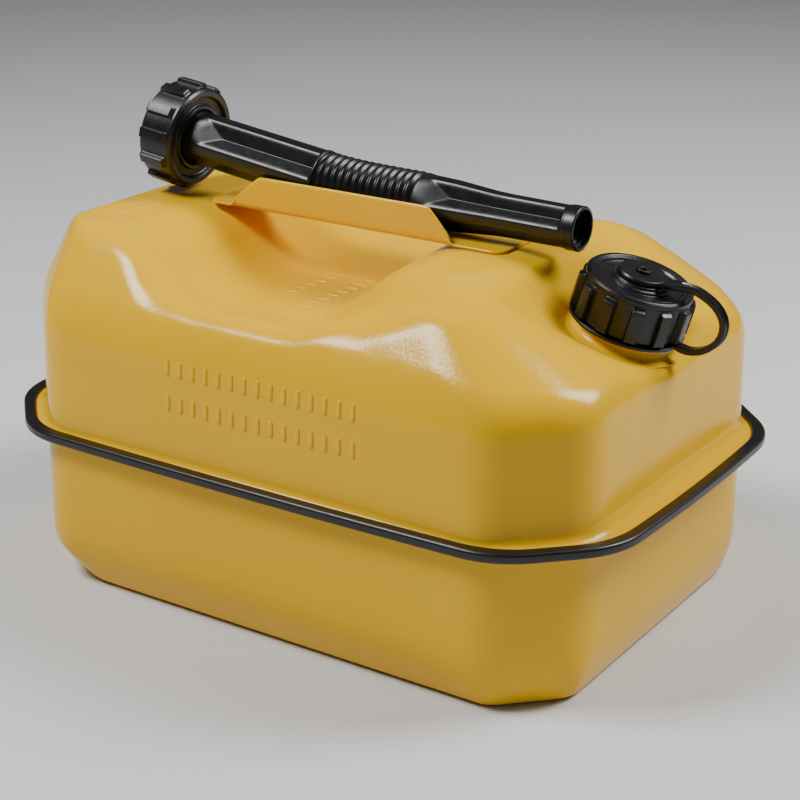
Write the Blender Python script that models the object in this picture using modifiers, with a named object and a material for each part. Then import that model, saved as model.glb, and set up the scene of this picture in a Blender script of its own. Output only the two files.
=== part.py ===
"""Ten-litre steel jerry can with a screw cap on a leash and a stowed flexible pouring spout.

Frame: metres, +Z up. X runs along the can, with the filler neck at the +X end. Z = 0 is the
surface that the can stands on, and the origin is the centre of the edge trim in plan.
"""
import math

import bmesh
import bpy
import numpy as np
from mathutils import Matrix, Vector

# ---------------------------------------------------------------- driving dimensions
SHEET = 0.0008          # steel sheet of both shells
GAP = 0.0003            # clearance between pieces that touch

# plan of the upper shell (half sizes, measured from the origin)
WALL_X = 0.1595
WALL_Y = 0.1138
WALL_CHAMFER_LEFT = 0.0357
WALL_CHAMFER_RIGHT = 0.0335
DRAFT = math.tan(math.radians(0.8))
SHOULDER_Z = 0.1415
WALL_BLEND = 0.006

# roof: a plateau with sloping facets all round
PLATEAU_Z = 0.1786
PLATEAU_LEFT = 0.143
PLATEAU_RIGHT = 0.094
PLATEAU_Y = 0.084
PLATEAU_CHAMFER_LEFT = 0.0145
PLATEAU_CHAMFER_RIGHT = 0.005
ROOF_BLEND = 0.008

# hand trough that crosses the roof under the handle
TROUGH_Z = 0.149
TROUGH_LEFT = -0.058
TROUGH_RIGHT = 0.014
TROUGH_APRON = 0.0014
TROUGH_BLEND = 0.006

# scoop round the filler neck
SCOOP_X = 0.093
SCOOP_Y = 0.059
SCOOP_RADIUS = 0.025
SCOOP_BLEND = 0.004

# lower shell
BASE_LEFT = 0.132
BASE_RIGHT = 0.1525
BASE_Y = 0.107
BASE_CHAMFER = 0.0275
BEVEL_Z = 0.019
LOWER_X = 0.159
LOWER_Y = 0.1155
LOWER_BOW = 0.0015
LOWER_CHAMFER_LEFT = 0.0355
LOWER_CHAMFER_RIGHT = 0.0318
LOWER_BLEND = 0.007

# welded flange, and the plastic trim pushed over it
SEAM_Z = 0.07925
TRIM_X = 0.1719
TRIM_Y = 0.1194
TRIM_BOW_X = 0.0049
TRIM_BOW_Y = 0.0034
TRIM_CHAMFER = 0.0362
TRIM_BLEND = 0.012
TRIM_WALL = 0.0016
TRIM_LIP = 0.0058
TRIM_LIP_UNDER = 0.0036
TRIM_HALF_HEIGHT = 0.0025

# filler neck, cap and leash share one tilted axis; its local z = 0 is the cap's rim
NECK_TILT = math.radians(16.5)
CAP_RIM = Vector((0.1387, 0.0, 0.1750))
CAP_RADIUS = 0.0250
CAP_BORE = 0.0220
CAP_HEIGHT = 0.0213
CAP_RIB_RADIUS = 0.0277
CAP_RIB_WIDTH = 0.0056
CAP_RIBS = 12
BOSS_RADIUS = 0.0125
NECK_BORE = 0.0170
NECK_RADIUS = 0.0193
NECK_THREAD = 0.0214
NECK_COLLAR = 0.0238
NECK_FLOOR = 0.0300
COLLAR_GAP = 0.0010
LEASH_RING_RADIUS = 0.0275
LEASH_RING_BORE = 0.0202
LEASH_THICK = 0.0016
EYE_RADIUS = 0.0115
STUD_RADIUS = 0.0028
STRAP_WIDTH = 0.0042
STRAP_THICK = 0.0028
STRAP_LOOP = [(0.0184, 0.0048), (0.0244, 0.0063), (0.0295, 0.0063), (0.0370, 0.0044), (0.0424, 0.0005),
              (0.0448, -0.0046), (0.0442, -0.0111), (0.0397, -0.0176), (0.0334, -0.0215)]

# handle: a strip across the trough with two folded-up sides
HANDLE_SHEET = 0.0012
HANDLE_Y = 0.0170
HANDLE_FEET = (-0.099, 0.0745)
HANDLE_FOLD = (-0.084, 0.048)
HANDLE_TOP = (-0.066, 0.034)
HANDLE_TOP_Z = 0.1965

# pouring spout, stowed along the handle's channel; its nut lies past the handle's -X end
NUT_FACE = Vector((-0.1160, 0.0, 0.2070))
BASE_TILT = math.radians(7.3)
BASE_LENGTH = 0.0820
OUTLET_START = Vector((0.0200, 0.0, 0.1942))
OUTLET_TILT = math.radians(0.8)
OUTLET_LENGTH = 0.0880
BASE_RADIUS = 0.0142
OUTLET_RADIUS = 0.0134
TIP_RADIUS = 0.0105
OUTLET_TAPER = 0.0420
SPOUT_BORE = 0.0085
NUT_RADIUS = 0.0256
NUT_RIB_RADIUS = 0.0278
NUT_RIB_WIDTH = 0.0052
NUT_RIBS = 12
NUT_RIB_PHASE = math.radians(-8)
NUT_LENGTH = 0.0195
NUT_BORE = 0.0215
NUT_COLLAR = 0.0148
BELLOWS_FOLDS = 13
BELLOWS_ROOT = 0.0122
BELLOWS_CREST = 0.0136
BELLOWS_BORE = 0.0100

# columns of the shells' meshes start on a spine between these two and fan out round its ends
SPINE_LEFT = -0.100
SPINE_RIGHT = 0.095
SIDE_COLUMNS = 16
END_COLUMNS = 15
HEART_Z = 0.125         # height that the upper shell's rings are aimed from
RING_ELEVATIONS = (0, 5, 9, 14, 20, 27, 35, 44, 54, 65, 78, 90)

ROUND_STEPS = 32        # segments round a turned piece
MERGE = 0.00001         # merge distance of the Screw modifiers


# ---------------------------------------------------------------- scene helpers
def clear_scene():
    for old in list(bpy.data.objects):
        bpy.data.objects.remove(old, do_unlink=True)
    for old in list(bpy.data.collections):
        bpy.data.collections.remove(old)


def new_collection(name):
    collection = bpy.data.collections.new(name)
    bpy.context.scene.collection.children.link(collection)
    return collection


def new_material(name, colour, roughness):
    made = bpy.data.materials.new(name)
    made.use_nodes = True
    shader = made.node_tree.nodes["Principled BSDF"]
    shader.inputs["Base Color"].default_value = (*colour, 1.0)
    shader.inputs["Roughness"].default_value = roughness
    shader.inputs["Metallic"].default_value = 0.0
    return made


def add_object(name, mesh, finish, collection, parent=None):
    """Link a mesh as one named piece, with a material of its own."""
    made = bpy.data.objects.new(name, mesh)
    collection.objects.link(made)
    colour, roughness = finish
    mesh.materials.append(new_material(name, colour, roughness))
    made.parent = parent
    return made


def add_axis(name, place, rotation, collection):
    """An empty on a joint's axis, for pieces to be parented to."""
    made = bpy.data.objects.new(name, None)
    made.location = place
    made.rotation_euler = rotation
    collection.objects.link(made)
    return made


def cut(made, cutter, operation="DIFFERENCE"):
    """Boolean a piece with a cutter, which is kept out of the build."""
    modifier = made.modifiers.new(cutter.name, "BOOLEAN")
    modifier.operation = operation
    modifier.solver = "EXACT"
    modifier.object = cutter
    cutter.hide_render = True
    cutter.display_type = "WIRE"


def solidify(made, thickness):
    modifier = made.modifiers.new("sheet", "SOLIDIFY")
    modifier.thickness = thickness
    modifier.offset = -1.0
    modifier.use_even_offset = True


def turned(name, profile, finish, collection, parent=None, steps=ROUND_STEPS):
    """A turned piece: a closed profile of (radius, z), running down its outer side."""
    mesh = bpy.data.meshes.new(name)
    points = [(radius, 0.0, z) for radius, z in profile]
    on_axis = profile[0][0] == 0.0
    edges = [(i, i + 1) for i in range(len(points) - 1)]
    if not on_axis:
        edges.append((len(points) - 1, 0))
    mesh.from_pydata(points, edges, [])
    if finish is None:
        made = bpy.data.objects.new(name, mesh)
        collection.objects.link(made)
        made.parent = parent
    else:
        made = add_object(name, mesh, finish, collection, parent)
    screw = made.modifiers.new("turn", "SCREW")
    screw.axis = "Z"
    screw.angle = math.tau
    screw.steps = steps
    screw.render_steps = steps
    screw.use_merge_vertices = True
    screw.merge_threshold = MERGE
    screw.use_smooth_shade = True
    return made


def ribs_round(name, radius_in, radius_out, width, low, high, count, collection, parent, phase=0.0):
    """Blocks set round a turned piece, ready to be joined to it."""
    shape = bmesh.new()
    middle = (radius_in + radius_out) / 2
    size = Matrix.Diagonal((radius_out - radius_in, width, high - low, 1.0))
    for turn in range(count):
        block = Matrix.Rotation(phase + turn * math.tau / count, 4, "Z")
        block = block @ Matrix.Translation((middle, 0.0, (low + high) / 2)) @ size
        bmesh.ops.create_cube(shape, size=1.0, matrix=block)
    mesh = bpy.data.meshes.new(name)
    shape.to_mesh(mesh)
    shape.free()
    made = bpy.data.objects.new(name, mesh)
    collection.objects.link(made)
    made.parent = parent
    return made


# ---------------------------------------------------------------- the pressed form
def soft_max(a, b, blend):
    """Larger of two distances, rounded over a band where they are within blend of each other."""
    near = np.maximum(blend - np.abs(a - b), 0.0) / blend
    return np.maximum(a, b) + near * near * blend / 4


def soft_max_all(values, blend):
    total = values[0]
    for value in values[1:]:
        total = soft_max(total, value, blend)
    return total


def sloped(outward, z, low, high):
    """Distance to a facet that rises inwards from low to high, each (outward, z)."""
    run = low[0] - high[0]
    rise = high[1] - low[1]
    return ((outward - low[0]) * rise + (z - low[1]) * run) / math.hypot(run, rise)


def ramp(t, ease):
    """0 below 0 and 1 at 1, straight except for an eased start."""
    eased = np.where(t < 2 * ease, np.maximum(t, 0.0) ** 2 / (4 * ease), t - ease)
    return eased / (1 - ease)


def trough_height(x, y):
    flare = np.clip((np.abs(y) - 0.045) / 0.040, 0.0, 1.0)
    flare = flare * flare * (3 - 2 * flare)
    left_slope = 0.90 - 0.28 * flare
    right_slope = 0.78 - 0.36 * flare
    rise_left = np.maximum(TROUGH_LEFT - x, 0.0) * left_slope
    rise_right = np.maximum(x - TROUGH_RIGHT, 0.0) * right_slope
    crease = 0.0735 - 0.0052 * ((x + 0.033) / 0.033) ** 2
    step = np.clip((np.abs(y) - crease) / 0.004, 0.0, 1.0)
    return TROUGH_Z + rise_left + rise_right + TROUGH_APRON * step * step * (3 - 2 * step)


def scoop_height(x, y):
    foot = CAP_RIM - NECK_FLOOR * neck_axis()
    floor = foot.z - (x - foot.x) * math.tan(NECK_TILT)
    slope = (PLATEAU_Z - SHOULDER_Z) / (WALL_X - PLATEAU_RIGHT)
    top = PLATEAU_Z - (x - PLATEAU_RIGHT) * slope
    from_floor = np.hypot(x - foot.x, y) - SCOOP_RADIUS
    taper = 0.1175 - 0.58 * x - 0.815 * np.abs(y)
    to_rim = -soft_max_all([SCOOP_X - x, np.abs(y) - SCOOP_Y, -taper], ROOF_BLEND)
    across = np.maximum(from_floor + to_rim, 0.002)
    share = np.clip(from_floor / across, 0.0, 4.0)
    return floor + (top - floor) * ramp(share, 0.1)


def upper_form(x, y, z):
    """Signed distance (positive outside) to the outside of the upper shell above its flange."""
    lean = DRAFT * (SHOULDER_Z - z)
    chamfer = np.where(x < 0, WALL_CHAMFER_LEFT, WALL_CHAMFER_RIGHT)
    reach = WALL_X + WALL_Y - chamfer
    diagonal = (np.abs(x) + np.abs(y) - reach) / math.sqrt(2)
    sides = [np.abs(x) - WALL_X - lean, np.abs(y) - WALL_Y - lean, diagonal - lean]
    walls = soft_max_all(sides, WALL_BLEND)
    left_reach = PLATEAU_LEFT + PLATEAU_Y - PLATEAU_CHAMFER_LEFT
    right_reach = PLATEAU_RIGHT + PLATEAU_Y - PLATEAU_CHAMFER_RIGHT
    low_left = ((WALL_X + WALL_Y - WALL_CHAMFER_LEFT) / math.sqrt(2), SHOULDER_Z)
    low_right = ((WALL_X + WALL_Y - WALL_CHAMFER_RIGHT) / math.sqrt(2), SHOULDER_Z)
    facets = [
        z - PLATEAU_Z,
        sloped(np.abs(y), z, (WALL_Y, SHOULDER_Z), (PLATEAU_Y, PLATEAU_Z)),
        sloped(-x, z, (WALL_X, SHOULDER_Z), (PLATEAU_LEFT, PLATEAU_Z)),
        sloped(x, z, (WALL_X, SHOULDER_Z), (PLATEAU_RIGHT, PLATEAU_Z)),
        sloped((np.abs(y) - x) / math.sqrt(2), z, low_left, (left_reach / math.sqrt(2), PLATEAU_Z)),
        sloped((np.abs(y) + x) / math.sqrt(2), z, low_right, (right_reach / math.sqrt(2), PLATEAU_Z)),
    ]
    form = soft_max(walls, soft_max_all(facets, ROOF_BLEND), ROOF_BLEND)
    form = soft_max(form, (z - trough_height(x, y)) * 0.8, TROUGH_BLEND)
    return soft_max(form, (z - scoop_height(x, y)) * 0.8, SCOOP_BLEND)


def plan_form(x, y, sizes):
    """Signed distance in plan to a rounded octagon with bowed sides."""
    left, right, half_y, chamfer_left, chamfer_right, blend, bow_x, bow_y = sizes
    half_x = np.where(x < 0, left, right)
    chamfer = np.where(x < 0, chamfer_left, chamfer_right)
    bulge_x = bow_x * (1 - (y / half_y) ** 2)
    bulge_y = bow_y * (1 - (x / half_x) ** 2)
    diagonal = (np.abs(x) + np.abs(y) - (half_x + half_y - chamfer)) / math.sqrt(2)
    sides = [np.abs(x) - half_x - bulge_x, np.abs(y) - half_y - bulge_y, diagonal]
    return soft_max_all(sides, blend)


# ---------------------------------------------------------------- columns round the shells

def columns():
    """Start points (x, y) and headings of the shells' columns, once round from the front."""
    starts = []
    headings = []
    for step in range(SIDE_COLUMNS):
        starts.append(SPINE_LEFT + (SPINE_RIGHT - SPINE_LEFT) * step / SIDE_COLUMNS)
        headings.append(-math.pi / 2)
    for step in range(END_COLUMNS):
        starts.append(SPINE_RIGHT)
        headings.append(-math.pi / 2 + math.pi * step / END_COLUMNS)
    for step in range(SIDE_COLUMNS):
        starts.append(SPINE_RIGHT - (SPINE_RIGHT - SPINE_LEFT) * step / SIDE_COLUMNS)
        headings.append(math.pi / 2)
    for step in range(END_COLUMNS):
        starts.append(SPINE_LEFT)
        headings.append(math.pi / 2 + math.pi * step / END_COLUMNS)
    return np.array(starts), np.array(headings)


def solve(form, far):
    """Distance along each column at which form changes sign, by halving."""
    low = np.zeros_like(far)
    high = far.copy()
    for _ in range(40):
        middle = (low + high) / 2
        outside = form(middle) > 0
        high = np.where(outside, middle, high)
        low = np.where(outside, low, middle)
    return (low + high) / 2


def plan_ring(sizes, z):
    """The column points where a plan outline is met, at one height."""
    starts, headings = columns()
    cos = np.cos(headings)
    sin = np.sin(headings)
    reach = solve(lambda t: plan_form(starts + t * cos, t * sin, sizes), np.full(starts.shape, 0.3))
    return np.stack([starts + reach * cos, reach * sin, np.full(starts.shape, z)], axis=1)


def form_ring(origin_z, elevation):
    """The column points where rays at one elevation leave the upper form."""
    starts, headings = columns()
    run = math.cos(elevation)
    cos = np.cos(headings) * run
    sin = np.sin(headings) * run
    rise = math.sin(elevation)
    reach = solve(
        lambda t: upper_form(starts + t * cos, t * sin, origin_z + t * rise),
        np.full(starts.shape, 0.3),
    )
    return np.stack([starts + reach * cos, reach * sin, origin_z + reach * rise], axis=1)


def loft(name, rings, close_last=False, closed_path=False):
    """Quads between rings of equal length; the last ring can be filled or joined to the first."""
    count = len(rings[0])
    points = [point for ring in rings for point in ring]
    faces = []
    last = len(rings) if closed_path else len(rings) - 1
    for level in range(last):
        upper = level * count
        lower = ((level + 1) % len(rings)) * count
        for i in range(count):
            j = (i + 1) % count
            faces.append((upper + i, upper + j, lower + j, lower + i))
    if close_last:
        start = (len(rings) - 1) * count
        faces.append(tuple(start + i for i in range(count)))
    mesh = bpy.data.meshes.new(name)
    mesh.from_pydata([tuple(point) for point in points], [], faces)
    shape = bmesh.new()
    shape.from_mesh(mesh)
    bmesh.ops.remove_doubles(shape, verts=shape.verts, dist=0.00005)
    bmesh.ops.recalc_face_normals(shape, faces=shape.faces)
    shape.to_mesh(mesh)
    shape.free()
    return mesh


def flip(mesh):
    shape = bmesh.new()
    shape.from_mesh(mesh)
    bmesh.ops.reverse_faces(shape, faces=shape.faces)
    shape.to_mesh(mesh)
    shape.free()


def face_towards(mesh, direction, above):
    """Turn an open surface so that its first steep-enough face looks along direction."""
    mesh.update()
    for face in mesh.polygons:
        if abs(face.normal.dot(direction)) > above:
            if face.normal.dot(direction) < 0:
                flip(mesh)
            return


def flange_outline(inset):
    chamfer = TRIM_CHAMFER - inset * (2 - math.sqrt(2))
    sizes = (TRIM_X - inset, TRIM_X - inset, TRIM_Y - inset, chamfer, chamfer)
    return (*sizes, TRIM_BLEND, TRIM_BOW_X, TRIM_BOW_Y)


def neck_axis():
    return Vector((math.sin(NECK_TILT), 0.0, math.cos(NECK_TILT)))


# ---------------------------------------------------------------- pieces of the can
YELLOW = ((0.93, 0.56, 0.02), 0.22)
BLACK = ((0.016, 0.016, 0.018), 0.42)
SEAL = ((0.03, 0.03, 0.03), 0.8)


def make_lower_shell(parts):
    flange_z = SEAM_Z - GAP / 2 - SHEET
    corners = (LOWER_CHAMFER_LEFT, LOWER_CHAMFER_RIGHT, LOWER_BLEND)
    wall = (LOWER_X, LOWER_X, LOWER_Y, *corners, 0.0, LOWER_BOW)
    base = (BASE_LEFT, BASE_RIGHT, BASE_Y, BASE_CHAMFER, BASE_CHAMFER, LOWER_BLEND, 0.0, 0.0)
    rings = [
        plan_ring(flange_outline(TRIM_WALL + GAP), flange_z),
        plan_ring(flange_outline(TRIM_LIP_UNDER), flange_z),
        plan_ring(wall, flange_z - 0.002),
        plan_ring(wall, BEVEL_Z),
        plan_ring(base, 0.0),
    ]
    mesh = loft("lower_shell", rings, close_last=True)
    face_towards(mesh, Vector((0, 0, -1)), 0.99)
    made = add_object("lower_shell", mesh, YELLOW, parts)
    solidify(made, SHEET)
    return made


def make_upper_shell(parts, cutters):
    flange_z = SEAM_Z + GAP / 2 + SHEET
    rings = [
        plan_ring(flange_outline(TRIM_WALL + GAP), flange_z),
        plan_ring(flange_outline(TRIM_LIP), flange_z),
    ]
    lean = DRAFT * (SHOULDER_Z - flange_z)
    corners = (WALL_CHAMFER_LEFT, WALL_CHAMFER_RIGHT, WALL_BLEND)
    wall = (WALL_X + lean, WALL_X + lean, WALL_Y + lean, *corners, 0.0, 0.0)
    rings.append(plan_ring(wall, flange_z + 0.0045))
    for degrees in RING_ELEVATIONS:
        rings.append(form_ring(HEART_Z, math.radians(degrees)))
    mesh = loft("upper_shell", rings)
    face_towards(mesh, Vector((0, 0, 1)), 0.99)
    made = add_object("upper_shell", mesh, YELLOW, parts)
    solidify(made, SHEET)
    hole = turned("neck_hole", [(0.0, 0.02), (NECK_RADIUS + GAP, 0.02), (NECK_RADIUS + GAP, -0.02),
                                (0.0, -0.02)], None, cutters, steps=ROUND_STEPS)
    hole.location = CAP_RIM - NECK_FLOOR * neck_axis()
    hole.rotation_euler = (0.0, NECK_TILT, 0.0)
    cut(made, hole)
    return made


def make_edge_trim(parts):
    """U-section trim, swept once round the flange."""
    inner_half = SHEET + GAP / 2 + GAP
    section = [
        (0.0, TRIM_HALF_HEIGHT - 0.0008),
        (0.0008, TRIM_HALF_HEIGHT),
        (TRIM_LIP, TRIM_HALF_HEIGHT),
        (TRIM_LIP, inner_half),
        (TRIM_WALL, inner_half),
        (TRIM_WALL, -inner_half),
        (TRIM_LIP_UNDER, -inner_half),
        (TRIM_LIP_UNDER, -TRIM_HALF_HEIGHT),
        (0.0008, -TRIM_HALF_HEIGHT),
        (0.0, -TRIM_HALF_HEIGHT + 0.0008),
    ]
    rings = [plan_ring(flange_outline(inset), SEAM_Z + z) for inset, z in section]
    mesh = loft("edge_trim", rings, closed_path=True)
    return add_object("edge_trim", mesh, BLACK, parts)


def make_neck(parts, axis):
    top = -0.0064
    floor = -NECK_FLOOR
    collar = -0.0240
    profile = [
        (NECK_RADIUS, top),
        (NECK_RADIUS, -0.0080),
        (NECK_THREAD, -0.0088),
        (NECK_THREAD, -0.0102),
        (NECK_RADIUS, -0.0110),
        (NECK_RADIUS, -0.0120),
        (NECK_THREAD, -0.0128),
        (NECK_THREAD, -0.0142),
        (NECK_RADIUS, -0.0150),
        (NECK_RADIUS, collar),
        (NECK_COLLAR - 0.001, collar),
        (NECK_COLLAR, collar - 0.001),
        (NECK_COLLAR, floor + COLLAR_GAP),
        (NECK_RADIUS, floor + COLLAR_GAP),
        (NECK_RADIUS, floor - 0.0035),
        (NECK_BORE, floor - 0.0035),
        (NECK_BORE, top),
    ]
    return turned("filler_neck", profile, YELLOW, parts, axis)


def make_cap_seal(parts, axis):
    profile = [
        (CAP_BORE - GAP, -0.0038),
        (CAP_BORE - GAP, -0.0061),
        (0.0145, -0.0061),
        (0.0145, -0.0038),
    ]
    return turned("cap_seal", profile, SEAL, parts, axis)


def make_cap(parts, cutters, axis):
    bottom = -CAP_HEIGHT
    profile = [
        (0.0, 0.0008),
        (BOSS_RADIUS, 0.0008),
        (BOSS_RADIUS, -0.0014),
        (0.0205, -0.0014),
        (0.0215, 0.0),
        (0.0246, 0.0),
        (0.0253, -0.0008),
        (0.0253, -0.0028),
        (CAP_RADIUS, -0.0032),
        (CAP_RADIUS, bottom),
        (CAP_BORE, bottom),
        (CAP_BORE, -0.0035),
        (0.0, -0.0035),
    ]
    made = turned("cap", profile, BLACK, parts, axis, steps=36)
    ribs = ribs_round("cap_ribs", CAP_RADIUS - 0.0012, CAP_RIB_RADIUS, CAP_RIB_WIDTH,
                      bottom + 0.0006, -0.0036, CAP_RIBS, cutters, axis)
    cut(made, ribs, "UNION")
    stud_hole = turned("stud_hole", [(0.0, 0.01), (STUD_RADIUS + GAP, 0.01),
                                     (STUD_RADIUS + GAP, -0.0018), (0.0, -0.0018)],
                       None, cutters, axis, steps=16)
    cut(made, stud_hole)
    return made


def make_leash(parts, axis):
    """Ring on the neck, eye disc on the cap, hollow stud, and the strap between ring and eye."""
    ring_top = -CAP_HEIGHT - GAP
    ring = turned("leash_ring", [
        (LEASH_RING_RADIUS, ring_top),
        (LEASH_RING_RADIUS, ring_top - LEASH_THICK),
        (LEASH_RING_BORE, ring_top - LEASH_THICK),
        (LEASH_RING_BORE, ring_top),
    ], BLACK, parts, axis)
    eye_low = 0.0008 + GAP
    eye_top = eye_low + 0.0024
    eye = turned("leash_eye", [
        (EYE_RADIUS, eye_top),
        (EYE_RADIUS, eye_low),
        (STUD_RADIUS + GAP, eye_low),
        (STUD_RADIUS + GAP, eye_top),
    ], BLACK, parts, axis, steps=24)
    stud = turned("leash_stud", [
        (0.0036, eye_top + 0.0014),
        (0.0036, eye_top + GAP),
        (STUD_RADIUS, eye_top + GAP),
        (STUD_RADIUS, -0.0015),
        (0.0011, -0.0015),
        (0.0011, eye_top + 0.0014),
    ], BLACK, parts, axis, steps=16)
    strap = make_strap(parts, axis, (eye_low + eye_top) / 2, ring_top - LEASH_THICK / 2)
    return ring, eye, stud, strap


def make_strap(parts, axis, eye_z, ring_z):
    """Flat strap that loops from the eye, out past the cap and back to the ring."""
    start = Vector((EYE_RADIUS + GAP, 0.0, eye_z))
    end = Vector((LEASH_RING_RADIUS + GAP, 0.0, ring_z))
    route = [start, *(Vector((u, 0.0, w)) for u, w in STRAP_LOOP), end]
    rings = []
    for i, point in enumerate(route):
        ahead = route[min(i + 1, len(route) - 1)] - route[max(i - 1, 0)]
        if i in (0, len(route) - 1):
            ahead = Vector((1.0 if i == 0 else -1.0, 0.0, 0.0))
        across = Vector((-ahead.z, 0.0, ahead.x)).normalized() * STRAP_THICK / 2
        if i in (0, 1, len(route) - 2, len(route) - 1):
            across *= LEASH_THICK / STRAP_THICK
        side = Vector((0.0, STRAP_WIDTH / 2, 0.0))
        rings.append([point + across - side, point + across + side,
                      point - across + side, point - across - side])
    mesh = loft("leash_strap", rings, close_last=True)
    shape = bmesh.new()
    shape.from_mesh(mesh)
    bmesh.ops.holes_fill(shape, edges=[edge for edge in shape.edges if edge.is_boundary])
    bmesh.ops.recalc_face_normals(shape, faces=shape.faces)
    shape.to_mesh(mesh)
    shape.free()
    return add_object("leash_strap", mesh, BLACK, parts, axis)


def plate(name, outline, thickness, matrix, collection):
    """A flat plate from a closed outline in the plate's own XY plane, as a mesh."""
    curve = bpy.data.curves.new(name, "CURVE")
    curve.dimensions = "2D"
    curve.fill_mode = "BOTH"
    curve.extrude = thickness / 2
    spline = curve.splines.new("POLY")
    spline.points.add(len(outline) - 1)
    for point, (x, y) in zip(spline.points, outline):
        point.co = (x, y, 0.0, 1.0)
    spline.use_cyclic_u = True
    source = bpy.data.objects.new(name, curve)
    bpy.context.scene.collection.objects.link(source)
    evaluated = source.evaluated_get(bpy.context.evaluated_depsgraph_get())
    mesh = bpy.data.meshes.new_from_object(evaluated)
    bpy.data.objects.remove(source)
    shape = bmesh.new()
    shape.from_mesh(mesh)
    bmesh.ops.remove_doubles(shape, verts=shape.verts, dist=MERGE)
    bmesh.ops.transform(shape, matrix=matrix, verts=shape.verts)
    bmesh.ops.recalc_face_normals(shape, faces=shape.faces)
    shape.to_mesh(mesh)
    shape.free()
    made = bpy.data.objects.new(name, mesh)
    collection.objects.link(made)
    return made


def make_handle(parts, cutters):
    """Strip with welded feet and two folded-up sides that make the spout's channel."""
    low = PLATEAU_Z + GAP
    left, right = HANDLE_FEET
    corner = 0.006
    strip_outline = [
        (left + corner, -HANDLE_Y), (right - corner, -HANDLE_Y), (right, -HANDLE_Y + corner),
        (right, HANDLE_Y - corner), (right - corner, HANDLE_Y), (left + corner, HANDLE_Y),
        (left, HANDLE_Y - corner), (left, -HANDLE_Y + corner),
    ]
    middle = Matrix.Translation((0.0, 0.0, low + HANDLE_SHEET / 2))
    strip = plate("handle_bracket", strip_outline, HANDLE_SHEET, middle, parts)
    colour, roughness = YELLOW
    strip.data.materials.clear()
    strip.data.materials.append(new_material("handle_bracket", colour, roughness))
    side_outline = [
        (HANDLE_FOLD[0], low + HANDLE_SHEET / 2), (HANDLE_FOLD[1], low + HANDLE_SHEET / 2),
        (HANDLE_FOLD[1], low + 0.0030), (HANDLE_TOP[1] + 0.0015, HANDLE_TOP_Z - 0.0008),
        (HANDLE_TOP[1], HANDLE_TOP_Z), (HANDLE_TOP[0], HANDLE_TOP_Z),
        (HANDLE_TOP[0] - 0.0015, HANDLE_TOP_Z - 0.0008), (HANDLE_FOLD[0], low + 0.0030),
    ]
    stand = Matrix.Rotation(math.pi / 2, 4, "X")
    for side in (-1, 1):
        place = Matrix.Translation((0.0, side * (HANDLE_Y - HANDLE_SHEET / 2), 0.0))
        wall = plate("handle_side", side_outline, HANDLE_SHEET, place @ stand, cutters)
        cut(strip, wall, "UNION")
    return strip


# ---------------------------------------------------------------- pieces of the spout
def make_spout_nut(parts, cutters, axis):
    """Captive nut; local +z points along the spout to its outlet, z = 0 is the nut's face."""
    profile = [
        (NUT_COLLAR, 0.0),
        (NUT_RADIUS - 0.0012, 0.0),
        (NUT_RADIUS, -0.0012),
        (NUT_RADIUS, -NUT_LENGTH),
        (NUT_BORE, -NUT_LENGTH),
        (NUT_BORE, -0.0040),
        (NUT_COLLAR, -0.0040),
    ]
    made = turned("spout_nut", profile, BLACK, parts, axis, steps=36)
    ribs = ribs_round("nut_ribs", NUT_RADIUS - 0.0012, NUT_RIB_RADIUS, NUT_RIB_WIDTH,
                      -NUT_LENGTH + 0.0010, -0.0030, NUT_RIBS, cutters, axis, NUT_RIB_PHASE)
    cut(made, ribs, "UNION")
    return made


def make_spout_base(parts, axis):
    """Rear tube with the flange that the nut draws down on the neck."""
    flange = -0.0043
    profile = [
        (BELLOWS_BORE, BASE_LENGTH),
        (BELLOWS_ROOT, BASE_LENGTH),
        (BELLOWS_ROOT, BASE_LENGTH - 0.0020),
        (BASE_RADIUS, BASE_LENGTH - 0.0030),
        (BASE_RADIUS, flange),
        (0.0205, flange),
        (0.0205, flange - 0.0025),
        (BELLOWS_BORE, flange - 0.0025),
    ]
    return turned("spout_base_tube", profile, BLACK, parts, axis)


def make_spout_gasket(parts, axis):
    profile = [
        (0.0205, -0.0071),
        (0.0205, -0.0093),
        (0.0130, -0.0093),
        (0.0130, -0.0071),
    ]
    return turned("spout_gasket", profile, SEAL, parts, axis)


def make_spout_outlet(parts, axis):
    """Front tube; local z = 0 is its end at the bellows, +z runs to the mouth."""
    profile = [
        (SPOUT_BORE, OUTLET_LENGTH),
        (TIP_RADIUS - 0.0003, OUTLET_LENGTH),
        (TIP_RADIUS, OUTLET_LENGTH - 0.0006),
        (TIP_RADIUS + 0.0003, OUTLET_TAPER),
        (OUTLET_RADIUS, 0.0030),
        (BELLOWS_ROOT, 0.0020),
        (BELLOWS_ROOT, 0.0),
        (SPOUT_BORE, 0.0),
    ]
    return turned("spout_outlet_tube", profile, BLACK, parts, axis)


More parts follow.
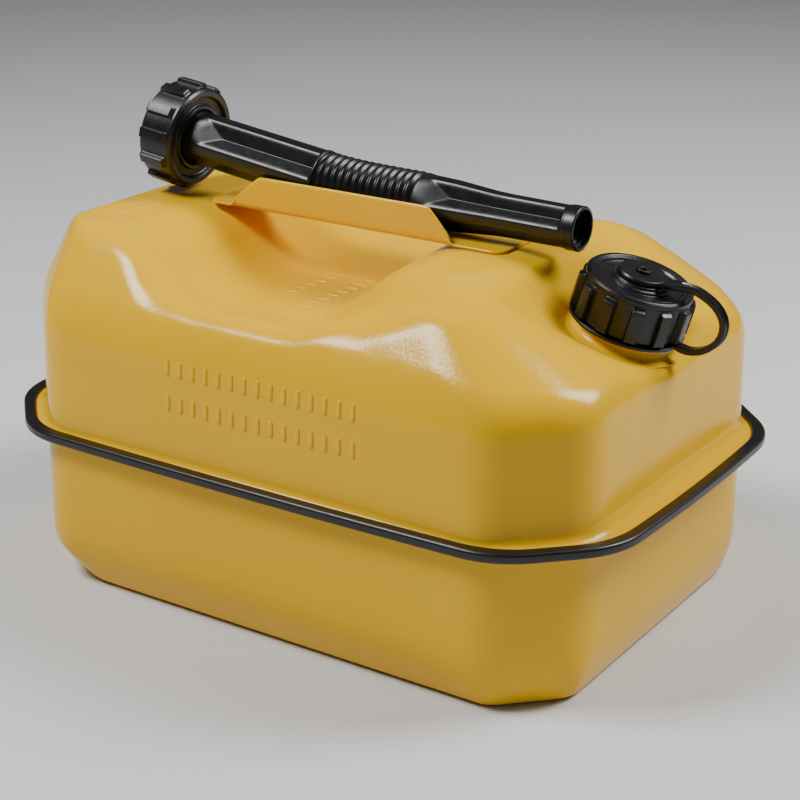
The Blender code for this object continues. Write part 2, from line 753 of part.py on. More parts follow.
def make_bellows(parts):
    """Corrugated tube from the rear tube's end to the front tube's, on a gentle curve."""
    along = Vector((math.cos(BASE_TILT), 0.0, -math.sin(BASE_TILT)))
    start = NUT_FACE + along * (BASE_LENGTH + GAP)
    leaving = Vector((math.cos(OUTLET_TILT), 0.0, -math.sin(OUTLET_TILT)))
    end = OUTLET_START - leaving * GAP
    length = (end - start).length
    count = BELLOWS_FOLDS * 2 + 1
    centres = []
    tangents = []
    for i in range(count):
        t = i / (count - 1)
        pull = length / 3
        a, b, c, d = start, start + along * pull, end - leaving * pull, end
        s = 1 - t
        centres.append(a * s ** 3 + b * 3 * s * s * t + c * 3 * s * t * t + d * t ** 3)
        tangent = (b - a) * s * s + (c - b) * 2 * s * t + (d - c) * t * t
        tangents.append(tangent.normalized())
    steps = 20
    outer = []
    inner = []
    for i, (centre, tangent) in enumerate(zip(centres, tangents)):
        up = Vector((-tangent.z, 0.0, tangent.x))
        radius = BELLOWS_CREST if i % 2 else BELLOWS_ROOT
        ring = []
        bore = []
        for step in range(steps):
            angle = step * math.tau / steps
            ray = Vector((0.0, math.cos(angle), 0.0)) + up * math.sin(angle)
            ring.append(centre + ray * radius)
            bore.append(centre + ray * BELLOWS_BORE)
        outer.append(ring)
        inner.append(bore)
    keep = inner[::6] if (count - 1) % 6 == 0 else [inner[0], inner[count // 2], inner[-1]]
    mesh = loft("spout_bellows", outer + keep[::-1], closed_path=True)
    return add_object("spout_bellows", mesh, BLACK, parts)


def main():
    clear_scene()
    parts = new_collection("jerry_can")
    cutters = new_collection("cutters")
    neck = add_axis("neck_axis", CAP_RIM, (0.0, NECK_TILT, 0.0), parts)
    nut = add_axis("nut_axis", NUT_FACE, (0.0, math.pi / 2 + BASE_TILT, 0.0), parts)
    outlet = add_axis("outlet_axis", OUTLET_START, (0.0, math.pi / 2 + OUTLET_TILT, 0.0), parts)
    make_lower_shell(parts)
    make_upper_shell(parts, cutters)
    make_edge_trim(parts)
    make_neck(parts, neck)
    make_cap_seal(parts, neck)
    make_cap(parts, cutters, neck)
    make_leash(parts, neck)
    make_handle(parts, cutters)
    make_spout_nut(parts, cutters, nut)
    make_spout_base(parts, nut)
    make_spout_gasket(parts, nut)
    make_spout_outlet(parts, outlet)
    make_bellows(parts)


main()
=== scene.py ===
"""Looks of the jerry can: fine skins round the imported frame, their finishes, lights and camera."""
import math

import bmesh
import bpy
import numpy as np
from mathutils import Matrix, Vector


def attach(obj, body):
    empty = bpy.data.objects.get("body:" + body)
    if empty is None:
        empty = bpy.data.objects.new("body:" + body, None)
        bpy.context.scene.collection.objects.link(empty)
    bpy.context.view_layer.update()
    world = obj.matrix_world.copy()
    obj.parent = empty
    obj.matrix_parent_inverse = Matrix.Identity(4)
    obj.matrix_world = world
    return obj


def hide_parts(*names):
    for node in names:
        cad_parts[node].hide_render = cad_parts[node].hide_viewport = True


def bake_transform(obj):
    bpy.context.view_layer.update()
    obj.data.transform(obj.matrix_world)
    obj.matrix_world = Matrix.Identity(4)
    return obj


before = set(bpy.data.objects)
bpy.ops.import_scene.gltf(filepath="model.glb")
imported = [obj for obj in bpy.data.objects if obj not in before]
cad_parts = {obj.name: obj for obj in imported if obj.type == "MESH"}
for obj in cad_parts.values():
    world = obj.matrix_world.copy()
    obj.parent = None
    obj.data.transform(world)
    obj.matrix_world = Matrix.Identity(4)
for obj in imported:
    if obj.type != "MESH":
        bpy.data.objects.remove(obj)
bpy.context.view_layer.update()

# ---------------- dimensions (m)
# They are the CAD's, except that the blends, apron, strap, bellows root and spine differ a little.
# upper shell
SHEET = 0.0008
GAP = 0.0003
WALL_X = 0.1595
WALL_Y = 0.1138
WALL_CHAMFER_LEFT = 0.0357
WALL_CHAMFER_RIGHT = 0.0335
DRAFT = math.tan(math.radians(0.8))
SHOULDER_Z = 0.1415
WALL_BLEND = 0.009
WALL_BLEND_LEFT = 0.006
PLATEAU_Z = 0.1786
PLATEAU_LEFT = 0.143
PLATEAU_RIGHT = 0.094
PLATEAU_Y = 0.084
PLATEAU_CHAMFER_LEFT = 0.0145
PLATEAU_CHAMFER_RIGHT = 0.005
ROOF_BLEND = 0.010
ROOF_BLEND_LEFT = 0.0045
TROUGH_Z = 0.149
TROUGH_LEFT = -0.058
TROUGH_EDGE = 0.0770
TROUGH_APRON = 0.0020
TROUGH_BLEND_MIDDLE = 0.014
TROUGH_BLEND_EDGE = 0.015
TROUGH_BLEND_LIP = 0.0080
SCOOP_X = 0.093
SCOOP_Y = 0.059
SCOOP_RADIUS = 0.025
SCOOP_BLEND = 0.005
# lower shell
BASE_LEFT = 0.132
BASE_RIGHT = 0.1525
BASE_Y = 0.107
BASE_CHAMFER = 0.0275
BEVEL_Z = 0.019
LOWER_X = 0.159
LOWER_Y = 0.1155
LOWER_BOW = 0.0015
LOWER_CHAMFER_LEFT = 0.0355
LOWER_CHAMFER_RIGHT = 0.0318
LOWER_BLEND = 0.009
BEVEL_BLEND = 0.0045
FOOT_BLEND = 0.004
# seam and trim
SEAM_Z = 0.07925
TRIM_X = 0.1719
TRIM_Y = 0.1194
TRIM_BOW_X = 0.0049
TRIM_BOW_Y = 0.0034
TRIM_CHAMFER = 0.0362
TRIM_BLEND = 0.012
TRIM_WALL = 0.0016
TRIM_LIP = 0.0058
TRIM_LIP_UNDER = 0.0036
TRIM_HALF_HEIGHT = 0.0025
# neck, cap and leash
NECK_TILT = math.radians(16.5)
CAP_RIM = Vector((0.1387, 0.0, 0.1750))
CAP_RADIUS = 0.0250
CAP_BORE = 0.0220
CAP_HEIGHT = 0.0213
CAP_RIB_RADIUS = 0.0277
CAP_RIB_WIDTH = 0.0056
CAP_RIBS = 12
CAP_RIB_PHASE = math.radians(-61)
NECK_BORE = 0.0170
NECK_RADIUS = 0.0193
NECK_THREAD = 0.0214
NECK_FLOOR = 0.0300
LEASH_RING_RADIUS = 0.0275
LEASH_RING_BORE = 0.0202
LEASH_THICK = 0.0016
EYE_RADIUS = 0.0115
STUD_RADIUS = 0.0028
STRAP_WIDTH = 0.0048
STRAP_THICK = 0.0031
STRAP_THIN = 0.0020
STRAP_LOOP = [(0.0184, 0.0048), (0.0244, 0.0063), (0.0295, 0.0063), (0.0370, 0.0044), (0.0424, 0.0005),
              (0.0448, -0.0046), (0.0442, -0.0111), (0.0397, -0.0176), (0.0334, -0.0215)]
# handle
HANDLE_SHEET = 0.0012
HANDLE_Y = 0.0170
HANDLE_FEET = (-0.099, 0.0745)
HANDLE_FOLD = (-0.084, 0.048)
HANDLE_TOP = (-0.066, 0.034)
HANDLE_TOP_Z = 0.1965
HANDLE_BEND = 0.0016
HANDLE_CORNER = 0.006
# spout
NUT_FACE = Vector((-0.1160, 0.0, 0.2070))
BASE_TILT = math.radians(7.3)
BASE_LENGTH = 0.0820
OUTLET_START = Vector((0.0200, 0.0, 0.1942))
OUTLET_TILT = math.radians(0.8)
OUTLET_LENGTH = 0.0880
BASE_RADIUS = 0.0142
OUTLET_RADIUS = 0.0134
TIP_RADIUS = 0.0105
OUTLET_TAPER = 0.0420
SPOUT_BORE = 0.0085
FLUTE_PHASE = math.radians(-37.5)
FLUTE_DEPTH = 0.66
FLUTE_HALF_CHORD = 0.50
NUT_RADIUS = 0.0256
NUT_RIB_RADIUS = 0.0278
NUT_RIB_WIDTH = 0.0052
NUT_RIBS = 12
NUT_RIB_PHASE = math.radians(-8)
NUT_LENGTH = 0.0195
NUT_BORE = 0.0215
NUT_COLLAR = 0.0148
BELLOWS_FOLDS = 13
BELLOWS_ROOT = 0.0120
BELLOWS_CREST = 0.0136
BELLOWS_BORE = 0.0100
# eased edges of ribs and marks, and the spine that the shells' columns start from
RIB_EDGE = 0.0004
MARK_SINK = 0.0004
MARK_EASE = 0.0005
SPINE_LEFT = -0.100
SPINE_RIGHT = 0.078

NECK_PLACE = Matrix.Translation(CAP_RIM) @ Matrix.Rotation(NECK_TILT, 4, "Y")
NUT_PLACE = Matrix.Translation(NUT_FACE) @ Matrix.Rotation(math.pi / 2 + BASE_TILT, 4, "Y")
OUTLET_PLACE = Matrix.Translation(OUTLET_START) @ Matrix.Rotation(math.pi / 2 + OUTLET_TILT, 4, "Y")
NECK_AXIS = Vector((math.sin(NECK_TILT), 0.0, math.cos(NECK_TILT)))


# ---------------- camera, lights and floor
CAMERA_PLACE = (0.50492, -0.75638, 0.43082)
CAMERA_TURN = (70.8266, -0.0810, 33.7534)
CAMERA_LENS = 86.3385
CAMERA_SHIFT = (0.01632, -0.06564)
LIGHT_DISTANCE = 1.5
SKY_STRENGTH = 0.11
FLOOR_REACH = 6.0
FLOOR_GREY = 0.64


def soft_light(name, azimuth, elevation, size, power):
    """A rectangular studio light; azimuth 0 is towards -Y, and grows towards +X."""
    data = bpy.data.lights.new(name, "AREA")
    data.shape = "RECTANGLE"
    data.size = size[0]
    data.size_y = size[1]
    data.energy = power
    made = bpy.data.objects.new(name, data)
    turn = math.radians(azimuth)
    rise = math.radians(elevation)
    heading = Vector((math.sin(turn) * math.cos(rise), -math.cos(turn) * math.cos(rise), math.sin(rise)))
    target = Vector((0.0, 0.0, 0.12))
    made.location = target + heading * LIGHT_DISTANCE
    bpy.context.scene.collection.objects.link(made)
    made.rotation_euler = (target - made.location).to_track_quat("-Z", "Y").to_euler()


def make_studio():
    data = bpy.data.cameras.new("camera")
    data.lens = CAMERA_LENS
    data.sensor_width = 36.0
    data.shift_x, data.shift_y = CAMERA_SHIFT
    data.clip_start = 0.05
    camera = bpy.data.objects.new("camera", data)
    camera.location = CAMERA_PLACE
    camera.rotation_euler = [math.radians(angle) for angle in CAMERA_TURN]
    bpy.context.scene.collection.objects.link(camera)
    bpy.context.scene.camera = camera

    world = bpy.data.worlds.new("studio")
    world.use_nodes = True
    sky = world.node_tree.nodes["Background"]
    sky.inputs["Color"].default_value = (1.0, 1.0, 1.0, 1.0)
    sky.inputs["Strength"].default_value = SKY_STRENGTH
    bpy.context.scene.world = world

    soft_light("key_front_left", -43, 54, (0.54, 0.42), 24)
    soft_light("key_back_right", 128, 46, (0.50, 0.70), 24)

    mesh = bpy.data.meshes.new("floor")
    corners = ((-1, -1), (1, -1), (1, 1), (-1, 1))
    mesh.from_pydata([(x * FLOOR_REACH, y * FLOOR_REACH, 0) for x, y in corners], [], [(0, 1, 2, 3)])
    floor = bpy.data.objects.new("floor", mesh)
    bpy.context.scene.collection.objects.link(floor)
    floor.location.z = -0.0002
    finish = bpy.data.materials.new("floor")
    finish.use_nodes = True
    shader = finish.node_tree.nodes["Principled BSDF"]
    shader.inputs["Base Color"].default_value = (FLOOR_GREY,) * 3 + (1.0,)
    shader.inputs["Roughness"].default_value = 0.9
    mesh.materials.append(finish)


# ---------------- finishes
class Nodes:
    """Short calls for building one material's node tree."""

    def __init__(self, name):
        self.material = bpy.data.materials.new(name)
        self.material.use_nodes = True
        self.tree = self.material.node_tree
        self.shader = self.tree.nodes["Principled BSDF"]
        self.place = self.tree.nodes.new("ShaderNodeTexCoord").outputs["Object"]

    def link(self, source, target):
        self.tree.links.new(source, target)

    def noise(self, scale, detail=3.0, roughness=0.5):
        node = self.tree.nodes.new("ShaderNodeTexNoise")
        node.inputs["Scale"].default_value = scale
        node.inputs["Detail"].default_value = detail
        node.inputs["Roughness"].default_value = roughness
        self.link(self.place, node.inputs["Vector"])
        return node.outputs["Fac"]

    def spread(self, value, low, high):
        """The middle of a noise, 0.3 to 0.7, stretched over low to high."""
        node = self.tree.nodes.new("ShaderNodeMapRange")
        node.inputs["From Min"].default_value = 0.3
        node.inputs["From Max"].default_value = 0.7
        node.inputs["To Min"].default_value = low
        node.inputs["To Max"].default_value = high
        self.link(value, node.inputs["Value"])
        return node.outputs["Result"]

    def blend(self, factor, low, high):
        node = self.tree.nodes.new("ShaderNodeMix")
        node.data_type = "RGBA"
        node.inputs[6].default_value = (*low, 1.0)
        node.inputs[7].default_value = (*high, 1.0)
        self.link(factor, node.inputs[0])
        return node.outputs[2]

    def bump(self, height, strength, distance, below=None):
        node = self.tree.nodes.new("ShaderNodeBump")
        node.inputs["Strength"].default_value = strength
        node.inputs["Distance"].default_value = distance
        self.link(height, node.inputs["Height"])
        if below is not None:
            self.link(below, node.inputs["Normal"])
        return node.outputs["Normal"]


def yellow_paint():
    """Glossy paint with orange peel over soft waves, and a little drift in tone and sheen."""
    nodes = Nodes("yellow_paint")
    tone = nodes.spread(nodes.noise(9.0, 2.0), 0.0, 1.0)
    nodes.link(nodes.blend(tone, (0.80, 0.450, 0.0), (0.84, 0.480, 0.0)),
               nodes.shader.inputs["Base Color"])
    nodes.link(nodes.spread(nodes.noise(55.0, 5.0, 0.7), 0.15, 0.22), nodes.shader.inputs["Roughness"])
    peel = nodes.bump(nodes.noise(640.0, 2.0, 0.5), 0.26, 0.00030)
    sag = nodes.bump(nodes.noise(70.0, 1.0, 0.4), 0.20, 0.0008, peel)
    nodes.link(sag, nodes.shader.inputs["Normal"])
    nodes.shader.inputs["Specular IOR Level"].default_value = 0.27
    return nodes.material


def black_plastic(name, grain=900.0, shine=0.33, depth=0.12):
    """Black plastic with a fine grain, and a slightly mottled tone and sheen."""
    nodes = Nodes(name)
    tone = nodes.spread(nodes.noise(60.0, 4.0, 0.6), 0.0, 1.0)
    nodes.link(nodes.blend(tone, (0.0030, 0.0030, 0.0032), (0.0070, 0.0070, 0.0074)),
               nodes.shader.inputs["Base Color"])
    nodes.link(nodes.spread(nodes.noise(180.0, 5.0, 0.7), shine - 0.06, shine + 0.08),
               nodes.shader.inputs["Roughness"])
    fine = nodes.bump(nodes.noise(grain, 3.0, 0.6), depth, 0.00025)
    nodes.link(fine, nodes.shader.inputs["Normal"])
    return nodes.material


def black_rubber():
    nodes = Nodes("black_rubber")
    tone = nodes.spread(nodes.noise(90.0, 4.0), 0.0, 1.0)
    nodes.link(nodes.blend(tone, (0.018, 0.018, 0.018), (0.035, 0.034, 0.033)),
               nodes.shader.inputs["Base Color"])
    nodes.link(nodes.spread(nodes.noise(250.0), 0.65, 0.85), nodes.shader.inputs["Roughness"])
    nodes.link(nodes.bump(nodes.noise(1200.0, 3.0), 0.3, 0.0002), nodes.shader.inputs["Normal"])
    return nodes.material


# ---------------- meshes from grids of points
def add_piece(name, mesh, finish, body, node=None, thickness=None, even=False):
    """One finished piece that rides on a body and may stand for a CAD node."""
    mesh.validate()
    mesh.shade_smooth()
    made = bpy.data.objects.new(name, mesh)
    bpy.context.scene.collection.objects.link(made)
    mesh.materials.append(finish)
    if thickness:
        solid = made.modifiers.new("sheet", "SOLIDIFY")
        solid.thickness = thickness
        solid.offset = -1.0
        solid.use_even_offset = True
    if even:
        mesh.set_sharp_from_angle(angle=math.radians(50))
        weights = made.modifiers.new("weights", "WEIGHTED_NORMAL")
        weights.keep_sharp = True
        weights.weight = 60
    if node:
        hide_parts(node)
    if body:
        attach(made, body)
    return made


def grid_faces(rows, columns, loop_rows=False, loop_columns=True):
    r = np.arange(rows if loop_rows else rows - 1)
    c = np.arange(columns if loop_columns else columns - 1)
    row, column = np.meshgrid(r, c, indexing="ij")
    below = (row + 1) % rows
    beside = (column + 1) % columns
    quads = np.stack([row * columns + column, row * columns + beside,
                      below * columns + beside, below * columns + column], axis=-1)
    return quads.reshape(-1, 4)


def grid_mesh(name, grid, loop_rows=False, loop_columns=True, fill_ends=False, weld=0.00001):
    """Quads over a (rows, columns, 3) grid of points, welded where rows close to a point."""
    rows, columns = grid.shape[:2]
    faces = [tuple(quad) for quad in grid_faces(rows, columns, loop_rows, loop_columns).tolist()]
    if fill_ends:
        faces.append(tuple(range(columns)))
        faces.append(tuple(range((rows - 1) * columns, rows * columns)))
    mesh = bpy.data.meshes.new(name)
    mesh.from_pydata(grid.reshape(-1, 3).tolist(), [], faces)
    shape = bmesh.new()
    shape.from_mesh(mesh)
    bmesh.ops.remove_doubles(shape, verts=shape.verts, dist=weld)
    bmesh.ops.recalc_face_normals(shape, faces=shape.faces)
    shape.to_mesh(mesh)
    shape.free()
    return mesh


def rounded(corners, steps=4, closed=True):
    """A profile of (a, b, radius) corners, with each corner that has a radius turned to an arc."""
    points = []
    count = len(corners)
    for i, (a, b, radius) in enumerate(corners):
        here = np.array([a, b])
        if radius <= 0 or (not closed and i in (0, count - 1)):
            points.append(here)
            continue
        before = np.array(corners[i - 1][:2]) - here
        after = np.array(corners[(i + 1) % count][:2]) - here
        reach_before = np.linalg.norm(before)
        reach_after = np.linalg.norm(after)
        before = before / reach_before
        after = after / reach_after
        angle = math.acos(np.clip(before @ after, -1, 1))
        if angle > math.pi - 0.02:
            points.append(here)
            continue
        back = min(radius / math.tan(angle / 2), reach_before * 0.48, reach_after * 0.48)
        radius = back * math.tan(angle / 2)
        centre = here + (before + after) / np.linalg.norm(before + after) * radius / math.sin(angle / 2)
        start = here + before * back - centre
        end = here + after * back - centre
        turn = math.atan2(start[0] * end[1] - start[1] * end[0], start @ end)
        for step in range(steps + 1):
            share = turn * step / steps
            points.append(centre + np.array([start[0] * math.cos(share) - start[1] * math.sin(share),
                                             start[0] * math.sin(share) + start[1] * math.cos(share)]))
    return np.array(points)


def place_all(grid, matrix):
    m = np.array(matrix)
    return grid @ m[:3, :3].T + m[:3, 3]


def spin(profile, angles, extra=None):
    """Grid of a profile (radius, z) turned round +Z; extra(angle, radius, z) adds to the radius."""
    radius = profile[:, 0][:, None]
    z = np.repeat(profile[:, 1][:, None], len(angles), axis=1)
    angle = angles[None, :]
    if extra is not None:
        radius = radius + extra(angle, radius, z)
    return np.stack([radius * np.cos(angle), radius * np.sin(angle), z], axis=-1)


def turned(name, corners, matrix, finish, body, node=None, steps=96, arc=4):
    """A turned piece from a closed profile of (radius, z, fillet)."""
    angles = np.arange(steps) * math.tau / steps
    grid = place_all(spin(rounded(corners, arc), angles), matrix)
    mesh = grid_mesh(name, grid, loop_rows=corners[0][0] > 0)
    return add_piece(name, mesh, finish, body, node, even=True)


# ---------------- the pressed forms
def soft_max(a, b, blend):
    """Larger of two distances, rounded over a band where they are within blend of each other."""
    near = np.maximum(blend - np.abs(a - b), 0.0) / blend
    return np.maximum(a, b) + near * near * blend / 4


def soft_max_all(values, blend):
    total = values[0]
    for value in values[1:]:
        total = soft_max(total, value, blend)
    return total


def smooth_step(t):
    t = np.clip(t, 0.0, 1.0)
    return t * t * (3 - 2 * t)


def sloped(outward, z, low, high):
    """Distance to a facet that rises inwards from low to high, each (outward, z)."""
    run = low[0] - high[0]
    rise = high[1] - low[1]
    return ((outward - low[0]) * rise + (z - low[1]) * run) / math.hypot(run, rise)


def ramp(t, ease):
    """Straight rise from 0 to 1 with an eased start."""
    eased = np.where(t < 2 * ease, np.maximum(t, 0.0) ** 2 / (4 * ease), t - ease)
    return eased / (1 - ease)


def trough_height(x, y):
    """Pan of the trough: a flat floor with a crisp edge, and sides that flatten to the front."""
    away = np.abs(y)
    flare = smooth_step((away - 0.045) / 0.040)
    foot = 0.0015 + 0.0100 * np.minimum(away / 0.075, 1.2) ** 1.3
    rise_left = soft_max(TROUGH_LEFT - x, np.zeros_like(x), 0.020) * (0.90 - 0.04 * flare)
    rise_right = soft_max(x - foot - 0.0035, np.zeros_like(x), 0.009) * (0.86 - 0.44 * flare)
    past = soft_max(away - TROUGH_EDGE, x - foot, 0.010)
    lip = soft_max(away - TROUGH_EDGE, np.zeros_like(x), 0.008) * 0.17
    return TROUGH_Z + rise_left + rise_right + lip + TROUGH_APRON * smooth_step(past / 0.0022)


def scoop_height(x, y):
    """Floor round the neck, square to it, and the sides that climb from it to the roof."""
    foot = CAP_RIM - NECK_FLOOR * NECK_AXIS
    floor = foot.z - (x - foot.x) * math.tan(NECK_TILT)
    slope = (PLATEAU_Z - SHOULDER_Z) / (WALL_X - PLATEAU_RIGHT)
    top = PLATEAU_Z - (x - PLATEAU_RIGHT) * slope
    from_floor = np.hypot(x - foot.x, y) - SCOOP_RADIUS
    taper = 0.1175 - 0.58 * x - 0.815 * np.abs(y)
    to_rim = -soft_max_all([SCOOP_X - x, np.abs(y) - SCOOP_Y, -taper], ROOF_BLEND)
    across = np.maximum(from_floor + to_rim, 0.002)
    share = np.clip(from_floor / across, 0.0, 4.0)
    return floor + (top - floor) * ramp(share, 0.1)


def upper_form(x, y, z):
    """Signed distance (positive outside) to the outside of the upper shell above its flange."""
    lean = DRAFT * (SHOULDER_Z - z)
    chamfer = np.where(x < 0, WALL_CHAMFER_LEFT, WALL_CHAMFER_RIGHT)
    reach = WALL_X + WALL_Y - chamfer
    diagonal = (np.abs(x) + np.abs(y) - reach) / math.sqrt(2)
    sides = [np.abs(x) - WALL_X - lean, np.abs(y) - WALL_Y - lean, diagonal - lean]
    left = smooth_step((-0.110 - x) / 0.030)
    walls = soft_max_all(sides, WALL_BLEND + (WALL_BLEND_LEFT - WALL_BLEND) * left)
    left_reach = PLATEAU_LEFT + PLATEAU_Y - PLATEAU_CHAMFER_LEFT
    right_reach = PLATEAU_RIGHT + PLATEAU_Y - PLATEAU_CHAMFER_RIGHT
    low_left = ((WALL_X + WALL_Y - WALL_CHAMFER_LEFT) / math.sqrt(2), SHOULDER_Z)
    low_right = ((WALL_X + WALL_Y - WALL_CHAMFER_RIGHT) / math.sqrt(2), SHOULDER_Z)
    facets = [
        z - PLATEAU_Z,
        sloped(np.abs(y), z, (WALL_Y, SHOULDER_Z), (PLATEAU_Y, PLATEAU_Z)),
        sloped(-x, z, (WALL_X, SHOULDER_Z), (PLATEAU_LEFT, PLATEAU_Z)),
        sloped(x, z, (WALL_X, SHOULDER_Z), (PLATEAU_RIGHT, PLATEAU_Z)),
        sloped((np.abs(y) - x) / math.sqrt(2), z, low_left, (left_reach / math.sqrt(2), PLATEAU_Z)),
        sloped((np.abs(y) + x) / math.sqrt(2), z, low_right, (right_reach / math.sqrt(2), PLATEAU_Z)),
    ]
    roof_blend = ROOF_BLEND + (ROOF_BLEND_LEFT - ROOF_BLEND) * left
    form = soft_max(walls, soft_max_all(facets, roof_blend), roof_blend)
    reach = smooth_step((np.abs(y) - 0.020) / 0.050)
    corner = smooth_step((np.abs(x + 0.008) - 0.036) / 0.028)
    edge = TROUGH_BLEND_LIP + (TROUGH_BLEND_EDGE - TROUGH_BLEND_LIP) * corner
    blend = TROUGH_BLEND_MIDDLE + (edge - TROUGH_BLEND_MIDDLE) * reach
    form = soft_max(form, (z - trough_height(x, y)) * 0.8, blend)
    return soft_max(form, (z - scoop_height(x, y)) * 0.8, SCOOP_BLEND)


def lower_form(x, y, z):
    """Signed distance (positive outside) to the outside of the lower shell below its flange."""
    chamfer = np.where(x < 0, LOWER_CHAMFER_LEFT, LOWER_CHAMFER_RIGHT)
    bow = LOWER_BOW * (1 - (x / LOWER_X) ** 2)
    diagonal = (np.abs(x) + np.abs(y) - (LOWER_X + LOWER_Y - chamfer)) / math.sqrt(2)
    walls = soft_max_all([np.abs(x) - LOWER_X, np.abs(y) - LOWER_Y - bow, diagonal], LOWER_BLEND)
    root = math.sqrt(2)
    low_left = ((LOWER_X + LOWER_Y - LOWER_CHAMFER_LEFT) / root, -BEVEL_Z)
    low_right = ((LOWER_X + LOWER_Y - LOWER_CHAMFER_RIGHT) / root, -BEVEL_Z)
    facets = [
        -z,
        sloped(np.abs(y), -z, (LOWER_Y, -BEVEL_Z), (BASE_Y, 0.0)),
        sloped(-x, -z, (LOWER_X, -BEVEL_Z), (BASE_LEFT, 0.0)),
        sloped(x, -z, (LOWER_X, -BEVEL_Z), (BASE_RIGHT, 0.0)),
        sloped((np.abs(y) - x) / root, -z, low_left, ((BASE_LEFT + BASE_Y - BASE_CHAMFER) / root, 0.0)),
        sloped((np.abs(y) + x) / root, -z, low_right, ((BASE_RIGHT + BASE_Y - BASE_CHAMFER) / root, 0.0)),
    ]
    return soft_max(walls, soft_max_all(facets, FOOT_BLEND), BEVEL_BLEND)


def plan_form(x, y, sizes):
    """Signed distance in plan to a rounded octagon with bowed sides."""
    half_x, half_y, chamfer, blend, bow_x, bow_y = sizes
    bulge_x = bow_x * (1 - (y / half_y) ** 2)
    bulge_y = bow_y * (1 - (x / half_x) ** 2)
    diagonal = (np.abs(x) + np.abs(y) - (half_x + half_y - chamfer)) / math.sqrt(2)
    return soft_max_all([np.abs(x) - half_x - bulge_x, np.abs(y) - half_y - bulge_y, diagonal], blend)


def flange_outline(inset):
    chamfer = TRIM_CHAMFER - inset * (2 - math.sqrt(2))
    return (TRIM_X - inset, TRIM_Y - inset, chamfer, TRIM_BLEND, TRIM_BOW_X, TRIM_BOW_Y)


# ---------------- columns round the shells
def columns(front, back, end):
    """Start points (x) and headings of the shells' columns, once round from the front."""
    starts = []
    headings = []
    for step in range(front):
        starts.append(SPINE_LEFT + (SPINE_RIGHT - SPINE_LEFT) * step / front)
        headings.append(-math.pi / 2)
    for step in range(end):
        starts.append(SPINE_RIGHT)
        headings.append(-math.pi / 2 + math.pi * step / end)
    for step in range(back):
        starts.append(SPINE_RIGHT - (SPINE_RIGHT - SPINE_LEFT) * step / back)
        headings.append(math.pi / 2)
    for step in range(end):
        starts.append(SPINE_LEFT)
        headings.append(math.pi / 2 + math.pi * step / end)
    return np.array(starts), np.array(headings)


def solve(form, count):
    """Distance along each column at which form changes sign, by halving."""
    low = np.zeros(count)
    high = np.full(count, 0.3)
    for _ in range(34):
        middle = (low + high) / 2
        outside = form(middle) > 0
        high = np.where(outside, middle, high)
        low = np.where(outside, low, middle)
    return (low + high) / 2


class Shell:
    """Rows of points round a pressed form, found along one set of columns."""

    def __init__(self, form, front, back, end):
        self.form = form
        self.starts, self.headings = columns(front, back, end)
        self.count = len(self.starts)
        self.cos = np.cos(self.headings)
        self.sin = np.sin(self.headings)
        self.rows = []

    def points(self, reach, z):
        return np.stack([self.starts + reach * self.cos, reach * self.sin,
                         np.broadcast_to(z, reach.shape)], axis=1)

    def outline(self, sizes):
        return solve(lambda t: plan_form(self.starts + t * self.cos, t * self.sin, sizes), self.count)

    def level(self, z):
        """Reach of the wall along each column at height z."""
        return solve(lambda t: self.form(self.starts + t * self.cos, t * self.sin, z), self.count)

    def ray_row(self, heart, elevation):
        """Row of points met by rays that leave the spine at height heart with one elevation."""
        run = math.cos(elevation)
        rise = math.sin(elevation)
        reach = solve(lambda t: self.form(self.starts + t * run * self.cos, t * run * self.sin,
                                          heart + t * rise), self.count)
        return self.points(reach * run, heart + reach * rise)

    def flange(self, inset, z, up, most):
        """Flange from its edge inwards, then a hollow fillet that turns it into the wall."""
        edge = self.outline(flange_outline(inset))
        wall = self.level(z + up * most)
        size = np.minimum((edge - wall) * 0.62, most)
        for _ in range(3):
            wall = self.level(z + up * size)
        self.rows.append(self.points(edge, z))
        start = wall + size
        for share in (0.35, 0.7):
            self.rows.append(self.points(edge + (start - edge) * share, z))
        for step in range(9):
            angle = math.pi / 2 * step / 8
            self.rows.append(self.points(start - size * math.sin(angle),
                                         z + up * size * (1 - math.cos(angle))))
        return z + up * size


def make_upper_shell(finish):
    shell = Shell(upper_form, 130, 130, 110)
    z = SEAM_Z + GAP / 2 + SHEET
    top = shell.flange(TRIM_WALL + GAP, z, 1, 0.0085)
    heart = 0.120
    for share in np.linspace(0, 1, 17)[1:-1]:
        level = top + (heart - top) * share
        shell.rows.append(shell.points(shell.level(level), level))
    steps = np.concatenate([np.arange(0, 14, 0.8), np.arange(14, 30, 0.4), np.arange(30, 70, 0.8),
                            np.arange(70, 90.1, 1.25)])
    for degrees in steps:
        shell.rows.append(shell.ray_row(heart, math.radians(degrees)))
    mesh = grid_mesh("upper_skin", np.stack(shell.rows))
    shape = bmesh.new()
    shape.from_mesh(mesh)
    inverse = NECK_PLACE.inverted()
    inside = [v for v in shape.verts
              if (inverse @ v.co).to_2d().length < NECK_RADIUS and (inverse @ v.co).z > -0.05]
    bmesh.ops.delete(shape, geom=inside, context="VERTS")
    for vert in shape.verts:
        if vert.is_boundary and vert.co.z > 0.1:
            local = inverse @ vert.co
            grow = (NECK_RADIUS + GAP) / local.to_2d().length
            vert.co = NECK_PLACE @ Vector((local.x * grow, local.y * grow, local.z))
    shape.to_mesh(mesh)
    shape.free()
    outward(mesh)
    return add_piece("upper_skin", mesh, finish, "can", "upper_shell", thickness=SHEET)


def outward(mesh):
    """Flip an open skin if its faces look, on the whole, towards the can's middle."""
    middle = Vector((0.0, 0.0, 0.085))
    vote = sum(face.normal.dot(face.center - middle) * face.area for face in mesh.polygons)
    if vote < 0:
        mesh.flip_normals()


